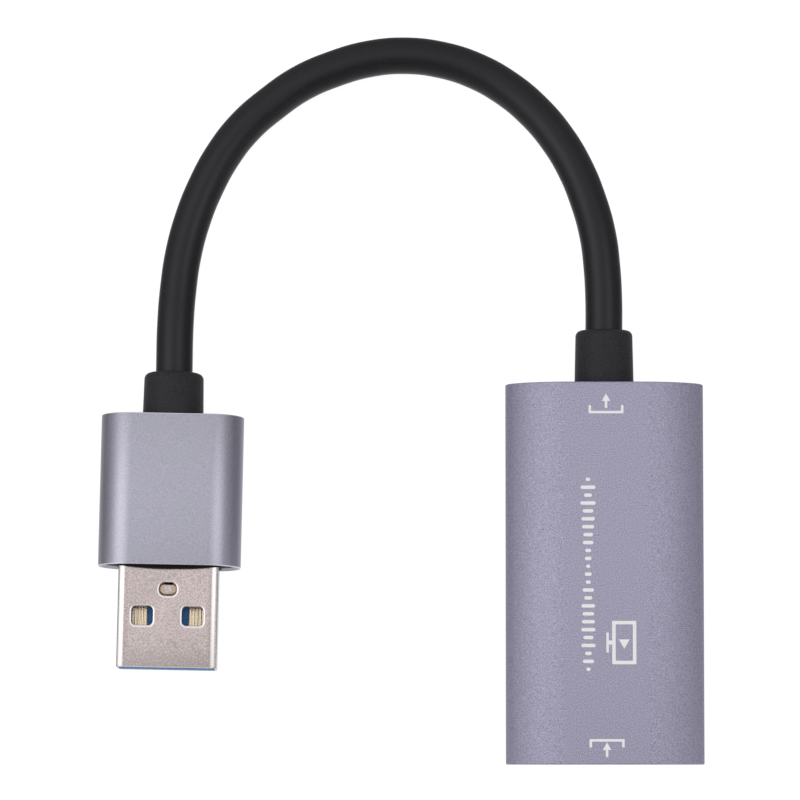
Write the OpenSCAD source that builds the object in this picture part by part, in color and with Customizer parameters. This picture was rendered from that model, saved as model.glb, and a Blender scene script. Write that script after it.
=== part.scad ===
// Video capture box: an extruded aluminium tube with a video socket in one end and a short
// cable with a serial plug at the other. X runs across the box, Y along it towards the cable,
// Z up. The origin is under the middle of the box, on the surface that it rests on.

/* [Box] */
// Width of the box across its rounded sides
box_width = 24; // [22:0.5:32]
// Length of the box between its cut ends
box_length = 46; // [45:0.5:70]
// Height of the box from its underside to its top
box_height = 11; // [10:0.5:14]
// Radius of the rounded long sides
side_radius = 4; // [3:0.1:4.6]
// Width of the flat along the top and the underside
flat_width = 9; // [5:0.5:11]
// Wall of the extruded tube
tube_wall = 1.2; // [0.8:0.1:1.6]
// Distance that the board guides stand in from the side walls
guide_reach = 1.4; // [1:0.1:1.8]
// Thickness of each board guide
guide_thickness = 0.8; // [0.6:0.1:1.1]

/* [End caps] */
// Thickness of the end plates
cap_plate = 1.6; // [1.2:0.1:2.4]
// Depth of the end plates behind the cut ends of the tube
cap_recess = 0.2; // [0:0.1:0.6]
// Gap between an end plate and the tube
cap_gap = 0.1; // [0.05:0.05:0.2]
// Wall of the collar round the video socket
collar_wall = 0.9; // [0.6:0.1:1]
// Depth of the collar behind the input plate
collar_depth = 3; // [2:0.5:5]
// Width of the two fingers that stop the board
finger_width = 2.4; // [1.6:0.2:3]
// Height of the two fingers that stop the board
finger_height = 2.6; // [1.8:0.2:3.6]
// Distance from the board guides to each finger
finger_inset = 0.9; // [0.5:0.1:1.5]

/* [Circuit board] */
// Thickness of the circuit board
board_thickness = 1; // [0.8:0.1:1.4]
// Gap between the board and its guides
board_gap = 0.1; // [0.05:0.05:0.2]
// Room between the output plate and the board, for the wires
wire_room = 8; // [7:0.5:10]

/* [Video socket] */
// Width of the socket's mouth
socket_width = 14; // [13:0.1:15]
// Height of the socket's mouth
socket_height = 4.55; // [4.2:0.05:5]
// Cut of the mouth's two lower corners
socket_corner = 1.7; // [1:0.1:2]
// Depth of the socket's shell
socket_depth = 11.2; // [10:0.1:12.5]
// Thickness of the shell's sheet metal
socket_sheet = 0.3; // [0.2:0.05:0.4]
// Gap between the shell and the input plate
socket_gap = 0.1; // [0.05:0.05:0.2]
// Width of the tongue that carries the contacts
tongue_width = 11.4; // [10.4:0.1:12]
// Distance from the mouth to the tongue's tip
tongue_setback = 1; // [0.5:0.1:1.5]
// Depth of the insulator behind the tongue
insulator_depth = 3.6; // [2.5:0.1:4.5]
// Distance between neighbouring contacts
contact_pitch = 1; // [0.9:0.05:1.1]
// Width of a contact
contact_width = 0.45; // [0.3:0.05:0.6]
// Thickness of a contact
contact_thickness = 0.2; // [0.15:0.05:0.3]
// Distance from the tongue's tip to a contact
contact_setback = 0.7; // [0.4:0.1:1.2]
// Length of a contact's soldered tail on the board
contact_tail = 1.8; // [1.2:0.1:2.4]
// Gap between a contact and its slot
contact_gap = 0.05; // [0.02:0.01:0.1]
// Length of the shell's spring fingers
spring_length = 4.6; // [3.6:0.1:5]
// Width of the shell's spring fingers
spring_width = 1.6; // [1.2:0.1:2]
// Distance from the middle of the socket to each spring finger
spring_offset = 3.4; // [2.6:0.1:3.8]
// Slit round each spring finger
spring_slit = 0.3; // [0.2:0.05:0.4]
// Distance that the spring fingers are bent in
spring_bend = 0.45; // [0.3:0.05:0.7]
// Distance from the mouth to the spring fingers
spring_setback = 1.6; // [1:0.1:2]
// Length of the shell's soldered legs in the board
leg_length = 2.6; // [2:0.1:3.2]
// Height of the shell's soldered legs
leg_height = 1.8; // [1.4:0.1:2.4]

/* [Components] */
// Side of the capture chip's body
chip_size = 7; // [6:0.5:8]
// Height of the capture chip's body
chip_height = 1.2; // [0.8:0.1:1.6]
// Place of the capture chip's middle, as a share of the board's length
chip_share = 0.47; // [0.45:0.01:0.5]
// Length of the memory chip
memory_length = 4.9; // [4:0.1:5.2]
// Width of the memory chip's body
memory_width = 3.9; // [3.2:0.1:4.1]
// Height of the memory chip's body
memory_height = 1.3; // [1:0.1:1.7]
// Length of the clock crystal
crystal_length = 3.2; // [2.5:0.1:3.5]
// Width of the clock crystal
crystal_width = 2.5; // [2:0.1:2.8]
// Height of the clock crystal
crystal_height = 0.9; // [0.6:0.1:1.2]
// Length of a voltage regulator's body
regulator_length = 2.9; // [2.4:0.1:3.2]
// Width of a voltage regulator's body
regulator_width = 1.6; // [1.2:0.1:1.8]
// Height of a voltage regulator's body
regulator_height = 1.1; // [0.8:0.1:1.4]
// Length of a surge protector
protector_length = 2.5; // [2:0.1:2.8]
// Width of a surge protector
protector_width = 1; // [0.8:0.1:1.2]
// Height of a surge protector
protector_height = 0.55; // [0.4:0.05:0.7]
// Length of a small resistor or capacitor
small_length = 1.6; // [1.2:0.1:1.8]
// Width of a small resistor or capacitor
small_width = 0.8; // [0.6:0.1:1]
// Height of a capacitor
capacitor_height = 0.8; // [0.5:0.1:1]
// Height of a resistor
resistor_height = 0.45; // [0.35:0.05:0.6]

/* [Cable] */
// Diameter of the cable's jacket
cable_diameter = 4.5; // [4:0.1:5]
// Diameter of each insulated wire
wire_diameter = 0.8; // [0.6:0.05:0.85]
// Distance between neighbouring wires where the jacket ends
wire_pitch = 0.9; // [0.88:0.01:0.96]
// Distance between neighbouring wires on the board
pad_pitch = 1.9; // [1.4:0.1:2.1]
// Length of each wire on the board
pad_length = 1.6; // [1:0.1:2.2]
// Length of the jacket that shows inside a boot's flange
jacket_end = 1; // [0.6:0.1:1.4]
// Visible length of the boot on the box
box_boot_length = 6.6; // [5:0.1:9]
// Diameter of the box's boot at its root
box_boot_root = 7.2; // [6.6:0.1:8]
// Diameter of the box's boot at its tip
box_boot_tip = 6.9; // [6.4:0.1:7.8]
// Visible length of the boot on the plug
plug_boot_length = 5.3; // [4:0.1:8]
// Diameter of the plug's boot at its root
plug_boot_root = 7.4; // [6.6:0.1:7.8]
// Diameter of the plug's boot at its tip
plug_boot_tip = 7.2; // [6.4:0.1:7.6]
// Radius of the boots' outer edges
boot_edge = 1; // [0.5:0.1:1.4]
// Wall of a boot's neck round the jacket
neck_wall = 0.5; // [0.4:0.05:0.6]
// Distance that a boot's flange stands out past its neck
flange_step = 0.3; // [0.2:0.05:0.4]
// Thickness of a boot's flange
flange_thickness = 1.2; // [0.8:0.1:1.6]
// Gap between a boot and what it goes through
boot_gap = 0.05; // [0.03:0.01:0.1]

/* [Plug] */
// Width of the plug's aluminium sleeve
sleeve_width = 17.3; // [16:0.1:20]
// Length of the plug's aluminium sleeve
sleeve_length = 18.4; // [17:0.1:24]
// Height of the plug's aluminium sleeve
sleeve_height = 8.4; // [8.2:0.1:10]
// Radius of the sleeve's long edges
sleeve_radius = 4; // [2.5:0.1:4]
// Wall of the sleeve
sleeve_wall = 0.7; // [0.5:0.1:0.9]
// Depth of the core behind the sleeve's front edge
core_recess = 0.1; // [0.1:0.1:1.4]
// Gap between the core and the sleeve
core_gap = 0.05; // [0.03:0.01:0.1]
// Length of the moulded root that holds the boot
root_length = 1.5; // [1.2:0.1:2]
// Width of the plug's steel shell
shell_width = 12.1; // [11.9:0.1:12.4]
// Height of the plug's steel shell
shell_height = 4.5; // [4.4:0.1:4.7]
// Length of the steel shell past the sleeve
shell_reach = 12.3; // [11.5:0.1:13]
// Length of the steel shell held in the core
shell_hold = 6.4; // [5:0.1:7.5]
// Thickness of the shell's sheet metal
shell_sheet = 0.3; // [0.25:0.05:0.35]
// Radius of the shell's long edges
shell_edge = 0.7; // [0.5:0.05:0.8]
// Width of the shell's latch holes
latch_width = 2.6; // [2.2:0.1:2.8]
// Length of the shell's latch holes
latch_length = 2.3; // [1.8:0.1:2.4]
// Radius of the latch holes' corners
latch_corner = 0.55; // [0.3:0.05:0.7]
// Distance from the middle of the plug to each latch hole
latch_offset = 3.05; // [2.8:0.05:3.3]
// Distance from the shell's tip to the latch holes
latch_place = 6.25; // [5.8:0.05:6.6]
// Length across the shell's pressed dimple
dimple_width = 2.2; // [1.8:0.1:2.4]
// Width along the shell's pressed dimple
dimple_length = 1.6; // [1.2:0.1:1.7]
// Depth of the shell's pressed dimple
dimple_depth = 0.35; // [0.25:0.05:0.45]
// Distance from the shell's tip to the dimple
dimple_place = 9.5; // [9:0.1:10]
// Thickness of the insulator's tongue
plug_tongue = 1.85; // [1.7:0.05:1.95]
// Distance from the shell's tip to the insulator's tongue
plug_setback = 0.05; // [0.05:0.05:0.8]
// Length of the insulator's block behind the tongue
block_length = 5; // [4:0.1:5.5]
// Gap between the insulator and the shell
insulator_gap = 0.05; // [0.02:0.01:0.1]
// Width of a power or data contact
bus_contact_width = 1.7; // [1:0.1:1.75]
// Distance from the middle of the plug to the inner contacts
inner_contact = 1.05; // [1:0.05:1.2]
// Distance from the middle of the plug to the outer contacts
outer_contact = 3.5; // [3.3:0.05:3.7]
// Thickness of the plug's contacts
bus_contact_thickness = 0.25; // [0.2:0.05:0.3]
// Distance from the tongue's tip to the contacts
bus_contact_setback = 1; // [0.6:0.1:1.6]
// Length of the contacts' tails behind the block
bus_contact_tail = 2; // [1.5:0.1:2.4]
// Distance between neighbouring fast contacts
fast_pitch = 2; // [1.9:0.05:2.1]
// Width of a fast contact
fast_width = 0.6; // [0.4:0.05:0.8]
// Length of a fast contact in front of the block
fast_reach = 3; // [2:0.1:3.4]
// Drop of a fast contact from the block to its bend
fast_drop = 0.35; // [0.2:0.05:0.4]
// Height of the fast contacts above the power and data contacts
fast_rise = 0.55; // [0.5:0.05:0.6]

/* [Plug position] */
// Place of the sleeve's rear face across the box
plug_x = -52.4; // [-60:0.1:-40]
// Place of the sleeve's rear face past the box's cable end
plug_y = -3.8; // [-13:0.1:2]
// Angle by which the plug's tip is turned away from the box
plug_yaw = 1.1; // [0:0.1:3]
// Angle by which the plug's tip is raised by the stiff cable
plug_pitch = 3; // [1:0.1:4]

/* [Hidden] */
$fn = 96;

// Small overlap that keeps a cut from ending in the same plane as what it cuts
eps = 0.01;

// Heights and stations of the box
axis_z = box_height / 2;
inner_half = box_width / 2 - tube_wall;
guide_edge = inner_half - guide_reach;
slot_height = board_thickness + 2 * board_gap;
tube_front = -box_length / 2;
tube_back = box_length / 2;
socket_front = tube_front + cap_recess;
socket_back = socket_front + socket_depth;
plate_out = tube_back - cap_recess;
plate_in = plate_out - cap_plate;
board_front = socket_back;
board_back = plate_in - wire_room;
jacket_in_box = plate_in - flange_thickness - jacket_end;

// The board and what stands on it
inner_radius = side_radius - tube_wall;
board_top = board_thickness / 2;
board_half = inner_half - inner_radius + sqrt(pow(inner_radius, 2) - pow(board_top, 2)) - board_gap;
contact_start = socket_front + tongue_setback + contact_setback;
upper_contact_count = 10;
lower_contact_count = 9;
parts_gap = 0.4;
lead_reach = 0.9;
lead_sheet = 0.15;
lead_stand = 0.35;
lead_knee = 0.36;
seam = 0.2;
chip_y = board_front + chip_share * (board_back - board_front);
chip_half = chip_size / 2 + lead_reach;
chip_lead_count = 12;
chip_lead_pitch = 0.5;
chip_lead_width = 0.22;
chip_mark = 1;
mark_radius = 0.4;
mark_depth = 0.1;
side_x = (chip_half + guide_edge) / 2;
edge_gap = 0.8;
memory_x = guide_edge - edge_gap - memory_length / 2;
memory_y = chip_y + chip_half + parts_gap + lead_reach + memory_width / 2;
memory_lead_count = 4;
memory_lead_pitch = 1.27;
memory_lead_width = 0.4;
regulator_half = regulator_width / 2 + lead_reach;
regulator_start = chip_y + crystal_length / 2 + parts_gap + regulator_half;
regulator_places = [regulator_start, regulator_start + 2 * regulator_half + parts_gap];
regulator_front_leads = 3;
regulator_rear_leads = 2;
regulator_lead_pitch = 0.95;
regulator_lead_width = 0.4;
side_count = 5;
under_count = 3;
resistor_count = 5;
lid_step = 0.4;

// The cable's wires
neck_radius = cable_diameter / 2 + neck_wall;
flange_radius = neck_radius + flange_step;
wire_count = 4;
wire_sides = 8;
wire_steps = 5;
wire_straight = 0.5;
tail_margin = 0.2;
wire_lap = bus_contact_tail - tail_margin;
wire_level = board_top + wire_diameter / 2;

// Stations along the plug, measured back from the sleeve's rear face
sleeve_front = -sleeve_length;
core_front = sleeve_front + core_recess;
shell_tip = sleeve_front - shell_reach;
shell_back = sleeve_front + shell_hold;
tongue_tip = shell_tip + plug_setback;
block_setback = 1;
block_back = shell_back - block_setback;
block_front = block_back - block_length;
flange_front = -root_length - flange_thickness;
jacket_in_plug = flange_front - jacket_end;
tongue_top = -shell_height / 2 + shell_sheet + insulator_gap + plug_tongue;
bus_contact_top = tongue_top + bus_contact_thickness;
fast_level = bus_contact_top + fast_rise;
contact_end = block_back + bus_contact_tail;
bus_places = [-outer_contact, -inner_contact, inner_contact, outer_contact];
fast_count = 5;
fast_places = [-2, -1, 1, 2];
dimple_wall = 0.15;
dimple_end = 0.05;
dimple_corner = dimple_length / 2 - dimple_end;
tongue_chamfer = 0.3;
plug_z = sleeve_height / 2 * cos(plug_pitch);

// The cable's free run: points chosen along its arch, each given across from the box's axis,
// past the tip of the box's boot, and above the height at which the cable lies
jacket_sides = 12;
arch = [
    [0, 3.6, 3.2], [-0.2, 7.7, 3.1], [-0.7, 11.8, 2.8], [-1.8, 16, 2.3], [-3.4, 20.1, 1.7],
    [-5.6, 23.9, 1.1], [-8.4, 27.3, 0.6], [-11.8, 30.2, 0.2], [-15.7, 32.4, 0], [-19.8, 33.7, 0],
    [-24.2, 34.2, 0], [-28.6, 33.8, 0], [-32.8, 32.6, 0], [-36.9, 30.8, 0], [-40.5, 28.3, 0],
    [-43.8, 25.4, 0], [-46.5, 21.9, 0], [-48.6, 18, 0], [-50.2, 13.9, 0.1], [-51.3, 9.6, 0.4],
    [-51.9, 5.2, 0.8], [-52.2, 0.7, 1.3]
];
lift = 0.05;
lying_z = cable_diameter / 2 + lift;
boot_tip = tube_back + box_boot_length;
free_run = [for (p = arch) p + [0, boot_tip, lying_z]];
jacket_path = concat(
    [[0, jacket_in_box, axis_z], [0, boot_tip, axis_z]],
    free_run,
    [plug_point([0, plug_boot_length, 0]), plug_point([0, jacket_in_plug, 0])]
);

// Where a point of the plug lies once the plug is raised, turned and put in its place
function plug_point(p) =
    let (
        up = [p[0], p[1] * cos(plug_pitch) + p[2] * sin(plug_pitch),
              p[2] * cos(plug_pitch) - p[1] * sin(plug_pitch)]
    )
    [plug_x + up[0] * cos(plug_yaw) + up[1] * sin(plug_yaw),
     tube_back + plug_y + up[1] * cos(plug_yaw) - up[0] * sin(plug_yaw),
     plug_z + up[2]];

function unit(v) = v / norm(v);

// Direction of a path at one of its points
function heading(path, i) =
    let (last = len(path) - 1)
    i == 0 ? unit(path[1] - path[0]) :
    i == last ? unit(path[last] - path[last - 1]) :
    unit(unit(path[i + 1] - path[i]) + unit(path[i] - path[i - 1]));

// Ring of points square to a path
function ring(path, i, radius, sides) =
    let (
        ahead = heading(path, i),
        across = unit(cross(ahead, [0, 0, 1])),
        above = cross(across, ahead)
    )
    [for (k = [0 : sides - 1])
        path[i] + radius * (cos(360 * k / sides) * across + sin(360 * k / sides) * above)];

// Round tube along a path, as one closed solid
module tube_along(path, radius, sides) {
    rings = len(path);
    last = (rings - 1) * sides;
    points = [for (i = [0 : rings - 1]) each ring(path, i, radius, sides)];
    walls = [
        for (i = [0 : rings - 2], k = [0 : sides - 1])
            let (a = i * sides + k, b = i * sides + (k + 1) % sides)
            each [[a, b, a + sides], [b, b + sides, a + sides]]
    ];
    ends = [for (k = [1 : sides - 2]) each [[0, k + 1, k], [last, last + k, last + k + 1]]];
    polyhedron(points, concat(walls, ends));
}

// Solid of an outline drawn across X and Z, between two stations along Y
module along_y(from, to) {
    translate([0, to, 0]) rotate([90, 0, 0]) linear_extrude(height = to - from) children();
}

// Solid of an outline drawn along Y and Z, between two stations across X
module along_x(from, to) {
    translate([from, 0, 0]) rotate([90, 0, 90]) linear_extrude(height = to - from) children();
}

// Solid of revolution about the Y axis, from a profile drawn as radius and station
module about_y() {
    rotate([-90, 0, 0]) rotate_extrude() children();
}

module rounded_rect(width, height, radius) {
    square([width - 2 * radius, height], center = true);
    square([width, height - 2 * radius], center = true);
    for (x = [-1, 1], y = [-1, 1])
        translate([x * (width / 2 - radius), y * (height / 2 - radius)]) circle(radius);
}

// Raises, turns and places what is modelled along the plug's own axis
module in_plug_place() {
    translate([plug_x, tube_back + plug_y, plug_z]) rotate([-plug_pitch, 0, -plug_yaw]) children();
}

module on_box_axis() {
    translate([0, 0, axis_z]) children();
}

// The box's cross-section: flats top and bottom, wide shoulder arcs and rounded sides,
// each meeting the next without a corner
module box_outline(inset) {
    half_height = box_height / 2 - inset;
    end_radius = side_radius - inset;
    reach = box_width / 2 - inset - flat_width / 2;
    run = reach - end_radius;
    shoulder = (pow(run, 2) + pow(half_height, 2) - pow(end_radius, 2))
        / (2 * (half_height - end_radius));
    meeting = run * shoulder / (shoulder - end_radius);
    square([flat_width, 2 * half_height], center = true);
    for (side = [0, 1])
        mirror([side, 0]) translate([flat_width / 2, 0]) {
            intersection() {
                translate([0, half_height - shoulder]) circle(shoulder);
                translate([0, shoulder - half_height]) circle(shoulder);
                translate([0, -half_height]) square([meeting, 2 * half_height]);
            }
            translate([run, 0]) circle(end_radius);
        }
}

// The two pairs of rails that hold the board, grown by a gap where a plate is cut round them
module guides(grow) {
    rooted = guide_reach + tube_wall / 4;
    for (side = [-1, 1], level = [-1, 1])
        translate([side * (guide_edge + rooted / 2),
                   level * (slot_height + guide_thickness) / 2])
            square([rooted + 2 * grow, guide_thickness + 2 * grow], center = true);
}

module cap_outline() {
    difference() {
        box_outline(tube_wall + cap_gap);
        guides(cap_gap);
    }
}

// The mouth of the video socket, grown evenly on every side
module socket_outline(grow) {
    a = socket_width / 2 + grow;
    b = socket_height / 2 + grow;
    c = socket_corner + grow * (2 - sqrt(2));
    polygon([[-a, b], [a, b], [a, c - b], [a - c, -b], [c - a, -b], [-a, c - b]]);
}

module box_tube() {
    color("#9c98ae") on_box_axis() along_y(tube_front, tube_back) {
        difference() {
            box_outline(0);
            box_outline(tube_wall);
        }
        guides(0);
    }
}

module input_cap() {
    hole = socket_sheet + socket_gap;
    back = socket_front + cap_plate;
    color("#232325") on_box_axis() {
        along_y(socket_front, back) difference() {
            cap_outline();
            socket_outline(hole);
        }
        along_y(back, back + collar_depth) intersection() {
            difference() {
                socket_outline(hole + collar_wall);
                socket_outline(hole);
            }
            cap_outline();
        }
    }
}

module output_cap() {
    finger_x = guide_edge - finger_inset - finger_width / 2;
    color("#232325") on_box_axis() {
        along_y(plate_in, plate_out) difference() {
            cap_outline();
            circle(neck_radius + boot_gap);
        }
        for (side = [-1, 1])
            along_y(board_back + board_gap, plate_in)
                translate([side * finger_x, 0]) square([finger_width, finger_height], center = true);
    }
}

module circuit_board() {
    notch = socket_sheet + 2 * board_gap;
    color("#1f5a3a") on_box_axis() difference() {
        along_y(board_front, board_back) square([2 * board_half, board_thickness], center = true);
        for (side = [-1, 1])
            along_y(board_front - eps, board_front + leg_length + board_gap)
                translate([side * (socket_width + socket_sheet) / 2, 0])
                    square([notch, board_thickness + 2 * eps], center = true);
    }
}

// One sprung finger of the socket's shell, cut free on three sides and bent inwards
module spring_finger() {
    wall = socket_height / 2;
    root = socket_front + spring_setback + spring_slit + spring_length;
    tip = root - spring_length;
    knee = tip + spring_length / 4;
    along_x(spring_offset - spring_width / 2, spring_offset + spring_width / 2)
        polygon([
            [root + seam, wall], [root, wall], [knee, wall - spring_bend], [tip, wall - spring_bend / 2],
            [tip, wall - spring_bend / 2 + socket_sheet], [knee, wall - spring_bend + socket_sheet],
            [root, wall + socket_sheet], [root + seam, wall + socket_sheet]
        ]);
}

module spring_window() {
    start = socket_front + spring_setback;
    opening = spring_width + 2 * spring_slit;
    along_y(start, start + spring_slit + spring_length)
        translate([spring_offset - opening / 2, socket_height / 2 - eps])
            square([opening, socket_sheet + 2 * eps]);
}

// The two legs of the socket's shell that are soldered into the board's notches
module leg_outline() {
    for (side = [-1, 1])
        translate([side * (socket_width + socket_sheet) / 2, 0])
            square([socket_sheet, leg_height], center = true);
}

module socket_shell() {
    color("#c9c9cc") on_box_axis() {
        difference() {
            along_y(socket_front, socket_back) difference() {
                socket_outline(socket_sheet);
                socket_outline(0);
            }
            for (side = [0, 1], level = [0, 1])
                mirror([side, 0, 0]) mirror([0, 0, level]) spring_window();
        }
        for (side = [0, 1], level = [0, 1])
            mirror([side, 0, 0]) mirror([0, 0, level]) spring_finger();
        along_y(socket_back, socket_back + leg_length) leg_outline();
        along_y(socket_back - seam, socket_back + seam) intersection() {
            socket_outline(socket_sheet);
            leg_outline();
        }
    }
}

// A row of flat contacts along the upper face of the socket's tongue, grown where they are slots
module contact_row(count, start, end, grow) {
    for (i = [0 : count - 1])
        along_y(start, end)
            translate([(i - (count - 1) / 2) * contact_pitch - contact_width / 2 - grow, board_top])
                square([contact_width + 2 * grow, contact_thickness + grow]);
}

module socket_insulator() {
    block_start = socket_back - insulator_depth;
    color("#1d1d1f") on_box_axis() difference() {
        union() {
            along_y(block_start, socket_back) socket_outline(-insulator_gap);
            along_y(socket_front + tongue_setback, block_start)
                square([tongue_width, board_thickness], center = true);
        }
        contact_row(upper_contact_count, block_start - eps, socket_back + eps, contact_gap);
        mirror([0, 0, 1]) contact_row(lower_contact_count, block_start - eps, socket_back + eps, contact_gap);
    }
}

module upper_socket_contacts() {
    color("#d8b25a") on_box_axis()
        contact_row(upper_contact_count, contact_start, socket_back + contact_tail, 0);
}

module lower_socket_contacts() {
    color("#d8b25a") on_box_axis() mirror([0, 0, 1])
        contact_row(lower_contact_count, contact_start, socket_back + contact_tail, 0);
}

// Puts a component on the upper face of the board
module on_board(x, y) {
    translate([x, y, axis_z + board_top]) children();
}

module component(length, width, height) {
    translate([-length / 2, -width / 2, 0]) cube([length, width, height]);
}

// One bent lead that leaves a chip's side and stands on the board
module lead(width) {
    shin = lead_knee + lead_sheet;
    rotate([90, 0, 0]) translate([0, 0, -width / 2]) linear_extrude(height = width)
        polygon([
            [0, lead_stand], [0, lead_stand + lead_sheet], [shin, lead_stand + lead_sheet],
            [shin, lead_sheet], [lead_reach, lead_sheet], [lead_reach, 0], [lead_knee, 0],
            [lead_knee, lead_stand]
        ]);
}

module lead_row(count, pitch, width) {
    for (i = [0 : count - 1])
        translate([0, (i - (count - 1) / 2) * pitch, 0]) lead(width);
}

module capture_chip() {
    color("#26262a") on_board(0, chip_y) difference() {
        component(chip_size, chip_size, chip_height);
        translate([chip_mark - chip_size / 2, chip_mark - chip_size / 2, chip_height - mark_depth])
            cylinder(r = mark_radius, h = mark_depth + eps);
    }
}

module capture_chip_leads() {
    color("#c8c8cc") on_board(0, chip_y)
        for (side = [0 : 3])
            rotate([0, 0, 90 * side]) translate([chip_size / 2, 0, 0])
                lead_row(chip_lead_count, chip_lead_pitch, chip_lead_width);
}

module memory_chip() {
    color("#26262a") on_board(memory_x, memory_y) component(memory_length, memory_width, memory_height);
}

module memory_chip_leads() {
    color("#c8c8cc") on_board(memory_x, memory_y)
        for (side = [-1, 1])
            rotate([0, 0, 90 * side]) translate([memory_width / 2, 0, 0])
                lead_row(memory_lead_count, memory_lead_pitch, memory_lead_width);
}

module clock_crystal() {
    color("#cfcfd4") on_board(-side_x, chip_y) {
        component(crystal_width, crystal_length, crystal_height / 2);
        translate([0, 0, crystal_height / 2])
            component(crystal_width - lid_step, crystal_length - lid_step, crystal_height / 2);
    }
}

module voltage_regulators() {
    color("#26262a")
        for (y = regulator_places)
            on_board(-side_x, y) component(regulator_length, regulator_width, regulator_height);
}

module voltage_regulator_leads() {
    color("#c8c8cc")
        for (y = regulator_places)
            on_board(-side_x, y) {
                rotate([0, 0, -90]) translate([regulator_width / 2, 0, 0])
                    lead_row(regulator_front_leads, regulator_lead_pitch, regulator_lead_width);
                rotate([0, 0, 90]) translate([regulator_width / 2, 0, 0])
                    lead_row(regulator_rear_leads, 2 * regulator_lead_pitch, regulator_lead_width);
            }
}

module surge_protectors() {
    y = board_front + contact_tail + parts_gap + protector_width / 2;
    color("#303034")
        for (i = [-1 : 1])
            on_board(i * (protector_length + parts_gap), y)
                component(protector_length, protector_width, protector_height);
}

// A small chip component: a body between two soldered ends
module small_part(height) {
    end = small_length / 5;
    component(small_length - 2 * end, small_width - lid_step / 2, height - lid_step / 4);
    for (side = [-1, 1])
        translate([side * (small_length - end) / 2, 0, 0]) component(end, small_width, height);
}

module capacitors() {
    step = small_width + parts_gap;
    color("#b08a5e") {
        for (i = [0 : side_count - 1])
            on_board(side_x, chip_y + (i - (side_count - 1) / 2) * step) small_part(capacitor_height);
        on_box_axis() mirror([0, 0, 1])
            for (i = [0 : under_count - 1])
                translate([(i - (under_count - 1) / 2) * (small_length + parts_gap), chip_y, board_top])
                    small_part(capacitor_height);
    }
}

module resistors() {
    y = chip_y - chip_half - parts_gap - small_width / 2;
    color("#1b1b1d")
        for (i = [0 : resistor_count - 1])
            on_board((i - (resistor_count - 1) / 2) * (small_length + parts_gap), y)
                small_part(resistor_height);
}

// A moulded boot round the cable: a tapered body, a neck through a wall and a flange behind it
module boot(root, tip, flange_at, neck_at, root_at, tip_at) {
    bore = cable_diameter / 2 + boot_gap;
    about_y() difference() {
        union() {
            polygon([
                [0, root_at], [root / 2, root_at], [tip / 2, tip_at - boot_edge],
                [tip / 2 - boot_edge, tip_at - boot_edge], [tip / 2 - boot_edge, tip_at], [0, tip_at]
            ]);
            translate([tip / 2 - boot_edge, tip_at - boot_edge]) circle(boot_edge);
            translate([0, neck_at - eps]) square([neck_radius, root_at - neck_at + 2 * eps]);
            translate([0, flange_at]) square([flange_radius, neck_at - flange_at]);
        }
        translate([-root, flange_at - eps]) square([root + bore, tip_at - flange_at + 2 * eps]);
    }
}

module box_boot() {
    color("#2b2b2d") on_box_axis()
        boot(box_boot_root, box_boot_tip, plate_in - flange_thickness, plate_in, plate_out, boot_tip);
}

module plug_boot() {
    color("#2b2b2d") in_plug_place()
        boot(plug_boot_root, plug_boot_tip, flange_front, -root_length, 0, plug_boot_length);
}

module cable_jacket() {
    color("#2e2e30") tube_along(jacket_path, cable_diameter / 2, jacket_sides);
}

function ease(t) = t * t * (3 - 2 * t);

// A wire's way from the jacket's end to where it is soldered, with a straight stretch at both ends
function wire_path(from, to, lap) =
    let (
        start = from - [0, wire_straight, 0],
        way = to - start
    )
    concat(
        [from],
        [for (i = [0 : wire_steps])
            let (t = i / wire_steps)
            start + [ease(t) * way[0], t * way[1], ease(t) * way[2]]],
        [to - [0, lap, 0]]
    );

function jacket_x(i) = (i - (wire_count - 1) / 2) * wire_pitch;

function pad_x(i) = (i - (wire_count - 1) / 2) * pad_pitch;

function board_path(i, level) =
    wire_path([jacket_x(i), jacket_in_box, level], [pad_x(i), board_back, level], pad_length);

function plug_path(i, level, x, z) =
    let (local = wire_path([jacket_x(i), jacket_in_plug, level], [x, contact_end, z], wire_lap))
    [for (p = local) plug_point(p)];

// One wire of the upper row in the box and of the lower row in the plug
module bus_wire(i) {
    on_box_axis() tube_along(board_path(i, wire_level), wire_diameter / 2, wire_sides);
    tube_along(plug_path(i, -wire_level, bus_places[i], tongue_top - wire_diameter / 2),
               wire_diameter / 2, wire_sides);
}

module power_wires() {
    color("#b3242a") bus_wire(0);
}

module data_wires() {
    color("#d9d9d2")
        for (i = [1, 2])
            bus_wire(i);
}

module ground_wires() {
    color("#1a1a1c") bus_wire(3);
}

module fast_wires() {
    level = fast_level + bus_contact_thickness + wire_diameter / 2;
    color("#7d8fb0")
        for (i = [0 : wire_count - 1]) {
            on_box_axis() tube_along(board_path(i, -wire_level), wire_diameter / 2, wire_sides);
            tube_along(plug_path(i, wire_level, fast_places[i] * fast_pitch, level),
                       wire_diameter / 2, wire_sides);
        }
}

module plug_sleeve() {
    color("#aeacb8") in_plug_place() along_y(sleeve_front, 0) difference() {
        rounded_rect(sleeve_width, sleeve_height, sleeve_radius);
        rounded_rect(sleeve_width - 2 * sleeve_wall, sleeve_height - 2 * sleeve_wall,
                     sleeve_radius - sleeve_wall);
    }
}

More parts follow.
